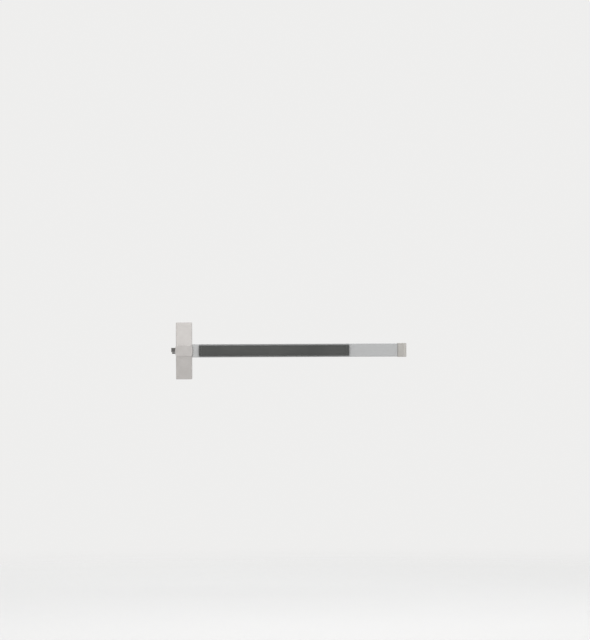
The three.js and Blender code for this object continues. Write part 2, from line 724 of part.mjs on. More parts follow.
function linkageGroup() {
  const linkage = new THREE.Group();
  for (const [side, station] of Object.entries(CRANK_STATIONS)) {
    place(linkage, `crank_bracket_${side}`, crankBracket(), zincSteel, [station, 0, 0]);
    for (const [edge, way] of EDGES) {
      place(linkage, `bracket_rivet_${side}_${edge}`, rivet(), zincSteel,
        [station, -6.3, way * RIVET_Z], FACE_ROOM);
    }
    place(linkage, `crank_pin_${side}`, crankPin(), zincSteel, [station, -CRANK.depth, 0]);
    place(linkage, `bell_crank_${side}`, bellCrank(), zincSteel,
      [station, -CRANK.depth, 0], [0, 0, CRANK_TILT]);
  }
  place(linkage, 'pull_rod', pullRod(), zincSteel);
  place(linkage, 'retractor', retractor(), zincSteel);
  place(linkage, 'retractor_screw', screwGeometry(3.5, 2, 2, 8), zincSteel,
    [RETRACTOR_SCREW_X, -ROD.front - GAP - SHEET - GAP - 2, 0], FACE_ROOM);
  const rodSpringLength = ROD_STOP - ROD.shoulder - 2 * GAP;
  place(linkage, 'rod_spring', springGeometry(4.4, 0.7, rodSpringLength, 9), springSteel,
    [ROD.shoulder + GAP, ROD_AXIS, 0], ALONG_RAIL);
  return linkage;
}

const exitDevice = new THREE.Group();
exitDevice.add(headGroup(), railGroup(), padGroup(), linkageGroup());

export default exitDevice;
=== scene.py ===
"""Looks of a rim exit device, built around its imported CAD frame.

The pieces are drawn in millimetres in the frame's own axes: +X along the bar, +Y into the
door, +Z up, and scaled to metres as their meshes are made.
"""

import json
import math

import bmesh
import bpy
from mathutils import Matrix, Vector


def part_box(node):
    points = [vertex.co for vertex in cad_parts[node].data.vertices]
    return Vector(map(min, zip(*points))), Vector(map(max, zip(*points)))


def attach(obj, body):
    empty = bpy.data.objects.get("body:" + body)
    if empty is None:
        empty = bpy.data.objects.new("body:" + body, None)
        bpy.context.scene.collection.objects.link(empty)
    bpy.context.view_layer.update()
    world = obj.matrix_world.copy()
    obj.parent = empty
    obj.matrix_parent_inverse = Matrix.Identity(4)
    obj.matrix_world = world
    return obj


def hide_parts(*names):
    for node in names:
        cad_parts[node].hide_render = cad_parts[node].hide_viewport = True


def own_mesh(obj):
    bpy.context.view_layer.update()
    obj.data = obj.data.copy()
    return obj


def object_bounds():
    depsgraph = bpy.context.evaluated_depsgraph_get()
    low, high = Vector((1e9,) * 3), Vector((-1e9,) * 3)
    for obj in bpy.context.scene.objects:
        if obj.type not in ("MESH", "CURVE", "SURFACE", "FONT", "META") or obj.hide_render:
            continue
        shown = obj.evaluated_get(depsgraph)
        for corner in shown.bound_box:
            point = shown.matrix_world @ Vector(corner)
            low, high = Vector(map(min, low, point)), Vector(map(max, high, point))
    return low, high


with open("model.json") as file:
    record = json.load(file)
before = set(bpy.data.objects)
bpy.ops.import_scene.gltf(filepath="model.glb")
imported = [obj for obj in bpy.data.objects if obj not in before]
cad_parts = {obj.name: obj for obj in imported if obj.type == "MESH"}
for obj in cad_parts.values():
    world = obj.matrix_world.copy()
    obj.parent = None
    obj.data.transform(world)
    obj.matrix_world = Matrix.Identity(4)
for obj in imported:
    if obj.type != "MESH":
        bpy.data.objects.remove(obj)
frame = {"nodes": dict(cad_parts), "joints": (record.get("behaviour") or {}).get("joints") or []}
cad_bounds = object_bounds()

MM = 0.001
GAP = 0.3  # between neighbouring pieces
WALL = 2.5  # castings and extrusions
SHEET = 2.5  # pressed steel
PAST = 5  # how far a cutter reaches past what it cuts
OVERLAP = 0.1  # of solids that are joined or cut together
ROUND = 48  # sides of a smooth round
STILL = "device_frame"  # the body that stays on the door
SIDES = ("left", "right")
EDGES = ("upper", "lower")

JOINTS = {joint["name"]: joint for joint in frame["joints"]}


def mm_box(node):
    """A CAD node's lowest and highest corners in millimetres."""
    low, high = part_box(node)
    return low / MM, high / MM


def mm_middle(node):
    """The middle of a CAD node's box in millimetres."""
    low, high = mm_box(node)
    return (low + high) / 2


def joint_place(name):
    """A point on a joint's axis in millimetres."""
    return Vector(JOINTS[name]["pos_m"]) / MM


def joint_travel(name):
    """How far a sliding joint goes, in millimetres."""
    return JOINTS[name]["range_m"][1] / MM


# ---- Shapes ----

PLACED = {
    "x": lambda a, b, along: (along, a, b),
    "y": lambda a, b, along: (b, along, a),
    "z": lambda a, b, along: (a, b, along),
}


def across(axis, point):
    """A point's place on the other two axes, in the order that outlines use."""
    return {"x": (point.y, point.z), "y": (point.z, point.x), "z": (point.x, point.y)}[axis]


def new_object(name, data):
    """An object in the scene."""
    obj = bpy.data.objects.new(name, data)
    bpy.context.scene.collection.objects.link(obj)
    return obj


def solid(points, faces):
    """A closed mesh object from points in millimetres, its faces turned outwards."""
    mesh = bpy.data.meshes.new("part")
    mesh.from_pydata([Vector(p) * MM for p in points], [], faces)
    work = bmesh.new()
    work.from_mesh(mesh)
    bmesh.ops.recalc_face_normals(work, faces=work.faces)
    work.to_mesh(mesh)
    work.free()
    return new_object("part", mesh)


def prism(axis, outline, start, end):
    """An outline pulled along an axis: (y, z) along x, (z, x) along y and (x, y) along z."""
    place = PLACED[axis]
    count = len(outline)
    points = [place(a, b, start) for a, b in outline]
    points += [place(a, b, end) for a, b in outline]
    faces = [list(range(count)), list(range(2 * count - 1, count - 1, -1))]
    for i in range(count):
        j = (i + 1) % count
        faces.append([i, j, count + j, count + i])
    return solid(points, faces)


def box(xs, ys, zs):
    """A box between two coordinates on each axis."""
    (y0, y1), (z0, z1) = ys, zs
    return prism("x", [(y0, z0), (y1, z0), (y1, z1), (y0, z1)], *xs)


def arc(centre, radius, first, last, steps):
    """Points on an arc, angles in degrees."""
    angles = [math.radians(first + (last - first) * i / steps) for i in range(steps + 1)]
    return [(centre[0] + radius * math.cos(a), centre[1] + radius * math.sin(a)) for a in angles]


def circle(centre, radius, sides):
    """Points round a whole circle."""
    return arc(centre, radius, 0, 360 - 360 / sides, sides - 1)


def slab(axis, a, b, radius, start, end):
    """A slab along an axis with round corners, between two coordinates each other way."""
    (a0, a1), (b0, b1) = sorted(a), sorted(b)
    left, right, low, high = a0 + radius, a1 - radius, b0 + radius, b1 - radius
    corners = ((right, high), (left, high), (left, low), (right, low))
    points = []
    for number, corner in enumerate(corners):
        points += arc(corner, radius, 90 * number, 90 * number + 90, 5)
    return prism(axis, points, start, end)


def link(start, start_radius, end, end_radius):
    """An outline round two circles, with straight sides between them."""
    dx, dy = end[0] - start[0], end[1] - start[1]
    aim = math.degrees(math.atan2(dy, dx))
    lean = math.degrees(math.acos((start_radius - end_radius) / math.hypot(dx, dy)))
    near = arc(start, start_radius, aim + lean, aim + 360 - lean, 20)
    return near + arc(end, end_radius, aim - lean, aim + lean, 20)


def mirrored(points):
    """Upper half of a (y, z) outline, closed by its mirror image below."""
    return points + [(y, -z) for y, z in reversed(points)]


def bar(axis, radius, start, end, centre, sides=ROUND):
    """A round bar; its centre is given on the other two axes, in the order that outlines use."""
    return prism(axis, circle(centre, radius, sides), start, end)


def turned(axis, profile, centre, sides=ROUND):
    """A turned piece from (radius, place along the axis) points, the first and last on the axis."""
    place = PLACED[axis]
    rim = profile[1:-1]
    points = [place(*centre, profile[0][1]), place(*centre, profile[-1][1])]
    for radius, along in rim:
        points += [place(a, b, along) for a, b in circle(centre, radius, sides)]
    last = 2 + (len(rim) - 1) * sides
    faces = []
    for i in range(sides):
        j = (i + 1) % sides
        faces += [[0, 2 + j, 2 + i], [1, last + i, last + j]]
        for low in range(2, last, sides):
            high = low + sides
            faces.append([low + i, low + j, high + j, high + i])
    return solid(points, faces)


def settle(obj):
    """Applies the object's modifiers to its mesh."""
    bpy.context.view_layer.update()
    graph = bpy.context.evaluated_depsgraph_get()
    mesh = bpy.data.meshes.new_from_object(obj.evaluated_get(graph))
    obj.modifiers.clear()
    obj.data = mesh
    return obj


def bevel(obj, width, segments, angle):
    """Adds a step that rounds the edges sharper than an angle."""
    step = obj.modifiers.new("round", "BEVEL")
    step.width = width * MM
    step.segments = segments
    step.limit_method = "ANGLE"
    step.angle_limit = math.radians(angle)


def rounded(obj, width, segments=2, angle=40):
    """Rounds the edges sharper than an angle."""
    bevel(obj, width, segments, angle)
    return settle(obj)


def triangulated(obj):
    """Splits a mesh's faces into triangles, so that its curved strips cut cleanly."""
    step = obj.modifiers.new("triangles", "TRIANGULATE")
    step.quad_method = "BEAUTY"
    return settle(obj)


def combine(body, tools, operation):
    """Works each tool into a body in turn, and removes the tool."""
    for tool in tools:
        step = body.modifiers.new("step", "BOOLEAN")
        step.operation = operation
        step.solver = "EXACT"
        step.object = tool
        settle(body)
        bpy.data.objects.remove(tool)
    return body


def cut(body, *tools):
    """Cuts the tools away from a body."""
    return combine(body, tools, "DIFFERENCE")


def joined(body, *tools):
    """Joins the tools to a body."""
    return combine(body, tools, "UNION")


# ---- Finishing a piece ----

MERGE = 0.003  # points closer than this are one
SMOOTH_ANGLE = 32  # edges flatter than this are shaded round


def clean(obj):
    """Joins points that fell together in cutting and rounding, and drops slivers."""
    work = bmesh.new()
    work.from_mesh(obj.data)
    bmesh.ops.remove_doubles(work, verts=work.verts, dist=MERGE * MM)
    bmesh.ops.dissolve_degenerate(work, edges=work.edges, dist=MERGE * MM)
    work.to_mesh(obj.data)
    work.free()


def smooth(obj):
    """Shades rounds smooth and keeps the broad faces between them flat."""
    obj.data.shade_smooth()
    obj.data.set_sharp_from_angle(angle=math.radians(SMOOTH_ANGLE))
    even = obj.modifiers.new("even", "WEIGHTED_NORMAL")
    even.keep_sharp = True
    settle(obj)


def dress(obj, node, form, slot, body=STILL, finish=None, name=None):
    """Gives the piece that stands for a node its name, its finish and its body, and hides the node.
    """
    obj.name = obj.data.name = name or f"{node}_{form}"
    clean(obj)
    smooth(obj)
    obj.data.materials.clear()
    obj.data.materials.append(FINISHES[finish or slot].material)
    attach(obj, body)
    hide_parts(node)


# ---- Materials ----


class Finish:
    """A Principled material with a few helpers for its patterns, in the frame's metres."""

    def __init__(self, name, **sockets):
        self.material = bpy.data.materials.new(name)
        self.material.use_nodes = True
        self.tree = self.material.node_tree
        self.shader = self.tree.nodes["Principled BSDF"]
        for socket, value in sockets.items():
            self.shader.inputs[socket.replace("_", " ")].default_value = value
        self.coords = self.tree.nodes.new("ShaderNodeTexCoord").outputs["Object"]

    def node(self, kind, links=(), **settings):
        """A shader node, its sockets linked or set."""
        node = self.tree.nodes.new("ShaderNode" + kind)
        for key, value in settings.items():
            setattr(node, key, value)
        for socket, value in dict(links).items():
            if isinstance(value, bpy.types.NodeSocket):
                self.tree.links.new(value, node.inputs[socket])
            else:
                node.inputs[socket].default_value = value
        return node

    def noise(self, per_metre, stretch=(1, 1, 1), detail=3.0, roughness=0.55):
        """Soft clouds, drawn out along an axis where its stretch is small."""
        place = self.node("Mapping", {"Vector": self.coords, "Scale": stretch}).outputs[0]
        links = {"Vector": place, "Scale": per_metre, "Detail": detail, "Roughness": roughness}
        return self.node("TexNoise", links).outputs["Fac"]

    def cells(self, per_metre):
        """Pebbles, like a fine grain."""
        links = {"Vector": self.coords, "Scale": per_metre}
        return self.node("TexVoronoi", links).outputs["Distance"]

    def range(self, value, low, high, to_low=0.0, to_high=1.0):
        """A value moved from one range to another, and held in it."""
        links = {"Value": value, "From Min": low, "From Max": high}
        links.update({"To Min": to_low, "To Max": to_high})
        return self.node("MapRange", links).outputs["Result"]

    def math(self, operation, a, b):
        """Two values worked into one."""
        return self.node("Math", {0: a, 1: b}, operation=operation).outputs[0]

    def colour(self, amount, first, second):
        """A mix of two colours."""
        mix = self.node("Mix", {"Factor": amount}, data_type="RGBA")
        for socket, value in (("A", first), ("B", second)):
            target = [s for s in mix.inputs if s.name == socket and s.type == "RGBA"][0]
            if isinstance(value, bpy.types.NodeSocket):
                self.tree.links.new(value, target)
            else:
                target.default_value = (*value, 1)
        return [s for s in mix.outputs if s.type == "RGBA"][0]

    def edges(self, radius, low=0.02, high=0.22):
        """1 on edges, 0 on flat faces, by how far the normal turns within a radius in metres."""
        eased = self.node("Bevel", {"Radius": radius}, samples=4).outputs[0]
        normal = self.node("NewGeometry").outputs["Normal"]
        links = {0: eased, 1: normal}
        dot = self.node("VectorMath", links, operation="DOT_PRODUCT").outputs["Value"]
        return self.range(self.math("SUBTRACT", 1.0, dot), low, high)

    def bump(self, height, distance, strength):
        """Relief of a depth in metres, on top of any before it."""
        links = {"Height": height, "Distance": distance, "Strength": strength}
        if self.shader.inputs["Normal"].links:
            links["Normal"] = self.shader.inputs["Normal"].links[0].from_socket
        self.drive("Normal", self.node("Bump", links).outputs[0])

    def drive(self, socket, value):
        """Links a pattern to one of the shader's sockets."""
        self.tree.links.new(value, self.shader.inputs[socket])


def aluminium_paint(name, dull, bright, painted_highlight):
    """Satin aluminium paint over a casting: orange peel, faint mottling, and painted highlights on
    its edges, in patches.
    """
    paint = Finish(name, Metallic=0.35)
    mottle = paint.range(paint.noise(28), 0.35, 0.65)
    body = paint.colour(mottle, dull, bright)
    patches = paint.range(paint.noise(260), 0.42, 0.6)
    # painted highlight: the edges are lightened, in patches, to stand for the light they catch
    highlight_mask = paint.math("MULTIPLY", paint.edges(1.1 * MM), patches)
    paint.drive("Base Color", paint.colour(highlight_mask, body, painted_highlight))
    paint.drive("Roughness", paint.range(paint.noise(420, detail=5.0), 0.3, 0.7, 0.32, 0.44))
    paint.bump(paint.noise(850, detail=2.0), 0.06 * MM, 0.5)
    paint.bump(paint.cells(1900), 0.025 * MM, 0.35)
    return paint


def anodised_extrusion(name, dull, bright):
    """Anodised aluminium extrusion: fine lengthwise grain, soft streaks and painted highlights on
    its corners.
    """
    metal = Finish(name, Metallic=0.8, Anisotropic=0.4)
    grain = metal.noise(2600, stretch=(0.012, 1, 1), detail=6.0, roughness=0.7)
    streak = metal.range(metal.noise(300, stretch=(0.02, 1, 1)), 0.3, 0.7, 0.5, 1.0)
    tone = metal.math("MULTIPLY", metal.range(grain, 0.3, 0.7), streak)
    body = metal.colour(tone, dull, bright)
    # painted highlight: the corners are lightened to stand for the light their rounds catch
    corners = metal.edges(0.6 * MM, 0.03, 0.4)
    metal.drive("Base Color", metal.colour(corners, body, (0.78, 0.78, 0.77)))
    metal.drive("Roughness", metal.range(grain, 0.25, 0.75, 0.36, 0.54))
    metal.bump(grain, 0.02 * MM, 0.7)
    metal.drive("Tangent", metal.node("Tangent", direction_type="RADIAL", axis="X").outputs[0])
    return metal


def pad_plastic():
    """Dark grey moulded pad: fine leather-like grain, hands' polish in patches, and painted
    highlights on its edges.
    """
    pad = Finish("pad_plastic", Specular_IOR_Level=0.45)
    cloud = pad.range(pad.noise(18, stretch=(0.4, 1, 1)), 0.3, 0.7)
    body = pad.colour(cloud, (0.049, 0.051, 0.048), (0.063, 0.065, 0.061))
    # painted highlight: the edges are lightened to stand for the light they catch
    highlight_mask = pad.math("MULTIPLY", pad.edges(0.9 * MM), 0.55)
    pad.drive("Base Color", pad.colour(highlight_mask, body, (0.15, 0.153, 0.146)))
    polish = pad.noise(9, stretch=(0.5, 1, 1), detail=4.0)
    pad.drive("Roughness", pad.range(polish, 0.35, 0.7, 0.62, 0.46))
    pad.bump(pad.cells(1300), 0.1 * MM, 0.8)
    pad.bump(pad.noise(2600, detail=2.0), 0.03 * MM, 0.6)
    return pad


def zinc_steel():
    """Zinc-plated pressed steel: pale spangle, rolling lines, and painted highlights on its edges.
    """
    zinc = Finish("zinc_steel", Metallic=0.95)
    spangle = zinc.range(zinc.noise(140, detail=2.0), 0.35, 0.65)
    body = zinc.colour(spangle, (0.52, 0.53, 0.535), (0.62, 0.62, 0.6))
    # painted highlight: the edges are lightened to stand for the light they catch
    zinc.drive("Base Color", zinc.colour(zinc.edges(0.5 * MM), body, (0.75, 0.75, 0.74)))
    lines = zinc.noise(1700, stretch=(0.03, 1, 1), detail=5.0, roughness=0.7)
    zinc.drive("Roughness", zinc.range(lines, 0.3, 0.7, 0.3, 0.46))
    zinc.bump(lines, 0.015 * MM, 0.5)
    return zinc


def latch_steel():
    """Hardened steel bolt: grey sides darkened with painted shade, the shadow of the door frame on
    it, and painted highlights on its corners, in patches.
    """
    steel = Finish("latch_steel", Metallic=0.9)
    # painted shade: both greys are darkened to stand for the shadow the door frame casts on the
    # bolt
    stain = steel.range(steel.noise(160, detail=4.0), 0.35, 0.65)
    body = steel.colour(stain, (0.125, 0.122, 0.116), (0.175, 0.17, 0.163))
    patches = steel.range(steel.noise(500), 0.35, 0.6, 0.4, 1.0)
    # painted highlight: the corners are lightened, in patches, to stand for the light they catch
    painted_highlight = steel.math("MULTIPLY", steel.edges(1.2 * MM), patches)
    steel.drive("Base Color", steel.colour(painted_highlight, body, (0.6, 0.59, 0.57)))
    ground = steel.noise(2000, stretch=(1, 1, 0.03), detail=4.0, roughness=0.7)
    steel.drive("Roughness", steel.range(ground, 0.3, 0.7, 0.3, 0.48))
    steel.bump(ground, 0.02 * MM, 0.5)
    return steel


def spring_steel():
    """Drawn spring wire with a thin oil-dark skin."""
    wire = Finish("spring_steel", Metallic=0.95)
    skin = wire.range(wire.noise(420), 0.3, 0.7)
    wire.drive("Base Color", wire.colour(skin, (0.27, 0.265, 0.26), (0.4, 0.39, 0.38)))
    wire.drive("Roughness", wire.range(wire.noise(1600), 0.3, 0.7, 0.24, 0.4))
    wire.bump(wire.noise(3000), 0.01 * MM, 0.5)
    return wire


def rubber():
    """Moulded black rubber with a dusty bloom."""
    gum = Finish("rubber", Specular_IOR_Level=0.3)
    bloom = gum.range(gum.noise(220, detail=4.0), 0.4, 0.75)
    gum.drive("Base Color", gum.colour(bloom, (0.02, 0.02, 0.021), (0.05, 0.05, 0.05)))
    gum.drive("Roughness", gum.range(gum.noise(700), 0.3, 0.7, 0.72, 0.9))
    gum.bump(gum.noise(1800, detail=2.0), 0.04 * MM, 0.6)
    return gum


def nylon():
    """Natural nylon: milky, slightly translucent, with flow marks."""
    block = Finish("nylon", Subsurface_Weight=0.15, Subsurface_Scale=2 * MM)
    flow = block.range(block.noise(70, stretch=(1, 0.4, 1)), 0.3, 0.7)
    block.drive("Base Color", block.colour(flow, (0.62, 0.59, 0.5), (0.74, 0.71, 0.63)))
    block.drive("Roughness", block.range(block.noise(500), 0.3, 0.7, 0.42, 0.56))
    block.bump(block.noise(1300), 0.02 * MM, 0.5)
    return block


PAINTS = {  # their dull and bright mottling, and their painted edge highlights
    "painted_casting": ((0.49, 0.466, 0.447), (0.518, 0.494, 0.475), (0.67, 0.66, 0.64)),
    # a darker, warmer copy of the case's paint for the end cap: the darkening is painted shade that
    # holds back the side light falling on the cap
    "painted_end_cap": ((0.41, 0.394, 0.368), (0.434, 0.417, 0.39), (0.57, 0.56, 0.53)),
}
EXTRUSIONS = {  # their dull and bright grain
    "satin_aluminium": ((0.42, 0.423, 0.423), (0.47, 0.472, 0.47)),
    "aluminium_with_painted_light": ((0.475, 0.477, 0.474), (0.532, 0.533, 0.527)),  # on the short cover: painted light, a paler copy that makes up for the shade the band and the pad cast on it
}
OTHERS = (pad_plastic, zinc_steel, latch_steel, spring_steel, rubber, nylon)
FINISHES = {
    **{name: aluminium_paint(name, *tones) for name, tones in PAINTS.items()},
    **{name: anodised_extrusion(name, *tones) for name, tones in EXTRUSIONS.items()},
    **{make.__name__: make() for make in OTHERS},
}


# ---- Head ----

HEAD_WIDTH = 60.0
HEAD_EDGE_DEPTH = 46.0  # at its top and bottom
HEAD_MID_DEPTH = 58.5
BAND_HALF = 20.3  # of the band's height
BOLT_SLOT = {"y": (-47.5, -3.5), "z": (-12.2, 12.2)}
MOUTH_GAP = 0.5  # round the rail, where it enters the case
COVER_SCREW_HOLE = 2.1
COVER_SCREW_SEAT = {"radius": 3.8, "depth": 1.6}


def head_profile(top, inset):
    """Side view of the case: a shallow wedge up and down from its middle."""
    end = top - inset
    middle = -(HEAD_MID_DEPTH - inset)
    return mirrored([(PAST, end), (-(HEAD_EDGE_DEPTH - inset), end), (middle, BAND_HALF)])


def band_outline(crown, inset):
    """Front view of the band: straight top and bottom, and arched sides."""
    side = HEAD_WIDTH / 2 - inset
    half = BAND_HALF - inset
    rise = crown - HEAD_WIDTH / 2
    radius = (half * half + rise * rise) / (2 * rise)
    reach = math.degrees(math.asin(half / radius))
    right = arc((0, side + rise - radius), radius, 90 + reach, 90 - reach, 20)
    return right + [(z, -x) for z, x in reversed(right)]


def counterbores(height, places, depth):
    """Screw holes with seats for flat heads, through a wall at each end of Z."""
    seat = COVER_SCREW_SEAT
    tools = []
    for x in places:
        for way in (1, -1):
            past = way * (height + PAST)
            tools.append(bar("z", COVER_SCREW_HOLE, way * (height - PAST), past, (x, depth)))
            tools.append(bar("z", seat["radius"], way * (height - seat["depth"]), past, (x, depth)))
    return tools


def rail_mouth(left, right, front_gap, side_gap):
    """A cutter that makes room for the rail."""
    low, high = mm_box("rail_channel")
    return box((left, right), (low.y - front_gap, PAST), (low.z - side_gap, high.z + side_gap))


def behind(low, high):
    """A cutter for what stands out behind a box."""
    return box((low.x - PAST, high.x + PAST), (high.y, 2 * PAST), (low.z - PAST, high.z + PAST))


def make_head_cover():
    """Hollow cast case with a slot for the bolts and a mouth for the rail."""
    low, high = mm_box("head_cover")
    side, top = HEAD_WIDTH / 2, high.z
    inner = side - WALL
    case = rounded(prism("x", head_profile(top, 0), -side, side), 2.0, 4, 20)
    joined(case, rounded(prism("y", band_outline(high.x, 0), low.y, PAST), 1.1, 3, 40))
    cut(
        case,
        rounded(prism("x", head_profile(top, WALL), -inner, inner), 1.0, 2, 20),
        prism("y", band_outline(high.x, WALL), low.y + WALL, PAST),
        behind(low, high),
    )
    slot = rounded(box((low.x - PAST, 1 - inner), BOLT_SLOT["y"], BOLT_SLOT["z"]), 1.5, 4, 60)
    mouth = rail_mouth(inner - 1, high.x + PAST, 2 * GAP, MOUTH_GAP)
    screw_place = mm_middle("head_cover_screw_1")
    cut(case, slot, mouth, *counterbores(top, (-screw_place.x, screw_place.x), screw_place.y))
    dress(case, "head_cover", "shell", "painted_casting")


# ---- Latch ----

PIVOT = joint_place("latch_swing")
PIVOT_HOLE = 3.3
HUB = 7
LATCH_NOSE = 34  # from the pivot to the nose
DEADLATCH_NOSE = 31
TAIL_PIN_HOLE = 2.3


def bolt(node, nose, tail):
    """A bolt with a bevelled nose, turning on its hub, with a tail behind it."""
    low, high = mm_box(node)
    x, y = PIVOT.x, PIVOT.y
    outline = [
        (x, y + HUB), (x - nose + 3, y + 6.5), (x - nose, y + 3), (x - nose, y - 1),
        (x - nose + 12, y - 9.5), (tail.x, tail.y - 4.2), (x + 4, y - 6),
    ]
    body = joined(prism("z", outline, low.z, high.z), bar("z", HUB, low.z, high.z, (x, y)))
    rounded(body, 0.7, 3, 25)
    return cut(body, bar("z", PIVOT_HOLE, low.z - PAST, high.z + PAST, (x, y)))


def make_latches():
    """The latch, bored for its tail pin, and the deadlatch below it."""
    tail = mm_middle("latch_tail_pin")
    latch = bolt("latch_bolt", LATCH_NOSE, tail)
    floor, top = mm_box("latch_tail_pin")[0].z - GAP, mm_box("latch_bolt")[1].z
    cut(latch, bar("z", TAIL_PIN_HOLE, floor, top + PAST, (tail.x, tail.y)))
    dress(latch, "latch_bolt", "body", "latch_steel", "latch")
    dead = bolt("deadlatch_bolt", DEADLATCH_NOSE, tail)
    dress(dead, "deadlatch_bolt", "body", "latch_steel", "deadlatch")


# ---- Rail and its covers ----

LIP_DROP = 0.4  # of the lip beside the pad, below the rail's front
LIP_THICKNESS = 2.0
LIP_GAP = 0.5  # round the pad
RAIL_CORNER = 0.8
LINE_DEPTH = 0.5
SIDE_LINES = (-6, -29)  # Y of the lines along the rail's top and bottom
RAIL_SCREWS = ("rail_joint_screw", "end_bracket_screw")
SCREW_HOLE = 2.3
RIVET_HOLE = 1.9
FLOOR_CUT = (-9, 1)  # Y, through the rail's floor and the sheets on it

COVER_CORNER = 1.1
COVER_LEG = (17.2, 19.2)  # inside and outside of the legs that clip into the rail
BARB = {"y": (-31.4, -33.4), "z": (21, 20.4)}  # at its back and at its front
BAND_GAP = 0.5  # between the short cover and the band


def side_line(place, level):
    """A shallow line along the extrusion's side."""
    floor = level - LINE_DEPTH
    return [(place, level), (place - 0.3, floor), (place - 1.3, floor), (place - 1.6, level)]


def floor_hole(node, radius):
    """A hole through the rail's floor for a fastener."""
    return bar("y", radius, *FLOOR_CUT, across("y", mm_middle(node)), 24)


def make_rail():
    """A channel with lips beside the pad, and fine lines along its outside."""
    low, high = mm_box("rail_channel")
    out, front = high.z, low.y
    lip = mm_box("push_pad")[1].z + LIP_GAP
    back_line = [(0, 9.2), (-LINE_DEPTH, 9.7), (-LINE_DEPTH, 10.7), (0, 11.2)]
    upper = back_line + [(0, out)]
    for place in SIDE_LINES:
        upper += side_line(place, out)
    upper += arc((front + RAIL_CORNER, out - RAIL_CORNER), RAIL_CORNER, 90, 180, 3)
    upper += [
        (front + LIP_DROP, lip), (front + LIP_DROP + LIP_THICKNESS, lip),
        (front + 2.6, out - WALL), (-WALL, out - WALL),
    ]
    rail = prism("x", mirrored(upper), low.x, high.x)
    for place in RAIL_SCREWS:
        cut(rail, *(floor_hole(f"{place}_{edge}", SCREW_HOLE) for edge in EDGES))
    for side in SIDES:
        cut(rail, *(floor_hole(f"bracket_rivet_{side}_{edge}", RIVET_HOLE) for edge in EDGES))
    rounded(rail, 0.2)
    dress(rail, "rail_channel", "", "satin_aluminium", name="rail_extrusion")


def make_rail_cover(side, finish):
    """A cover on two legs with barbs; the left one meets the head's band."""
    node = f"rail_cover_{side}"
    low, high = mm_box(node)
    half, front, leg_end = high.z, low.y, high.y
    seat = mm_box("rail_channel")[0].y - GAP
    inside, outside = COVER_LEG
    barb = list(zip(BARB["y"], BARB["z"]))
    upper = [(seat, inside), (leg_end, inside), (leg_end, outside), (BARB["y"][0], outside)] + barb
    upper += [(BARB["y"][1], outside), (seat, outside), (seat, half)]
    upper += arc((front + COVER_CORNER, half - COVER_CORNER), COVER_CORNER, 90, 180, 5)
    cover = prism("x", mirrored(upper), low.x, high.x)
    if side == "left":
        crown = mm_box("head_cover")[1].x
        cut(cover, prism("y", band_outline(crown, -BAND_GAP), front - PAST, PAST))
    rounded(cover, 0.3)
    dress(cover, node, "plate", "satin_aluminium", finish=finish)


CAP_EDGE = -41.8  # Y of its left edge, where its face starts to rise
CAP_RISE = 3.2
CAP_BEVEL = {"width": 10, "y": -34}
CAP_SEAT = 0.5  # past the rail's end


def make_end_cap():
    """Hollow cast cap over the rail's end, with a wide bevel on its right."""
    low, high = mm_box("end_cap")
    half, front = high.z, low.y
    inner_left = mm_box("rail_channel")[1].x + CAP_SEAT

    def right_side(inset):
        """The cap's plan from its bevel round to its back."""
        side, slope = high.x - inset, high.x - CAP_BEVEL["width"]
        return [(slope, front + inset), (side, CAP_BEVEL["y"] + inset / 2), (side, PAST)]

    outline = [(low.x, PAST), (low.x, CAP_EDGE), (low.x + CAP_RISE, front)] + right_side(0)
    hollow = [(inner_left, PAST), (inner_left, front + WALL)] + right_side(WALL)
    cap = triangulated(rounded(prism("z", outline, -half, half), 1.5, 4, 20))
    screw_place = mm_middle("end_cap_screw_top")
    cut(
        cap,
        prism("z", hollow, WALL - half, half - WALL),
        rail_mouth(low.x - PAST, inner_left + OVERLAP, GAP, GAP),
        behind(low, high),
        *counterbores(half, (screw_place.x,), screw_place.y),
    )
    dress(cap, "end_cap", "shell", "painted_casting", finish="painted_end_cap")


# ---- Pad ----

PAD_WALL = 2.8
PAD_CORNER = 1.2
PAD_GROOVES = (14.7, -13.0)
PAD_HOOK = (1.6, 2)  # thickness and width of its edges' hooks
PAD_END_SKIN = 3  # of its end pieces


def pad_corner(out, face):
    """The pad's upper front corner, from its top round to its face."""
    return arc((face + PAD_CORNER, out - PAD_CORNER), PAD_CORNER, 90, 180, 5)


def pad_outline(low, high):
    """The pad's section: a channel with hooked edges and fine grooves along its face."""
    out, face, back = high.z, low.y, high.y
    inn = out - PAD_WALL
    thick, wide = PAD_HOOK
    grooves = []
    for at in PAD_GROOVES:
        floor = face + 0.55
        grooves += [(face, at + 0.7), (floor, at + 0.25), (floor, at - 0.25), (face, at - 0.7)]
    upper = pad_corner(out, face)
    lower = [(y, -z) for y, z in reversed(upper)]
    outside = [(back, out)] + upper + grooves + lower + [(back, -out)]
    hook = back - thick
    inside = [(back, inn - wide), (hook, inn - wide), (hook, inn), (face + PAD_WALL, inn)]
    return outside + [(y, -z) for y, z in inside] + inside[::-1]


def make_pad():
    """The pad's extruded cover and the hollow piece at each of its ends."""
    low, high = mm_box("push_pad")
    pad = rounded(prism("x", pad_outline(low, high), low.x, high.x), 0.15, 2, 50)
    dress(pad, "push_pad", "cover", "pad_plastic", "pad")
    for side in SIDES:
        node = f"pad_cap_{side}"
        low, high = mm_box(node)
        out, face, back = high.z, low.y, high.y
        upper = [(back, out)] + pad_corner(out, face)
        cap = rounded(prism("x", mirrored(upper), low.x, high.x), 0.5, 3, 50)
        pocket = (low.x + PAD_END_SKIN, high.x + PAST)
        if side == "right":
            pocket = (low.x - PAST, high.x - PAD_END_SKIN)
        inn = out - PAD_WALL
        cut(cap, box(pocket, (face + PAD_WALL, back + PAST), (-inn, inn)))
        dress(cap, node, "", "pad_plastic", "pad", name=f"pad_end_{side}")


# ---- Fasteners, pins and bumpers ----

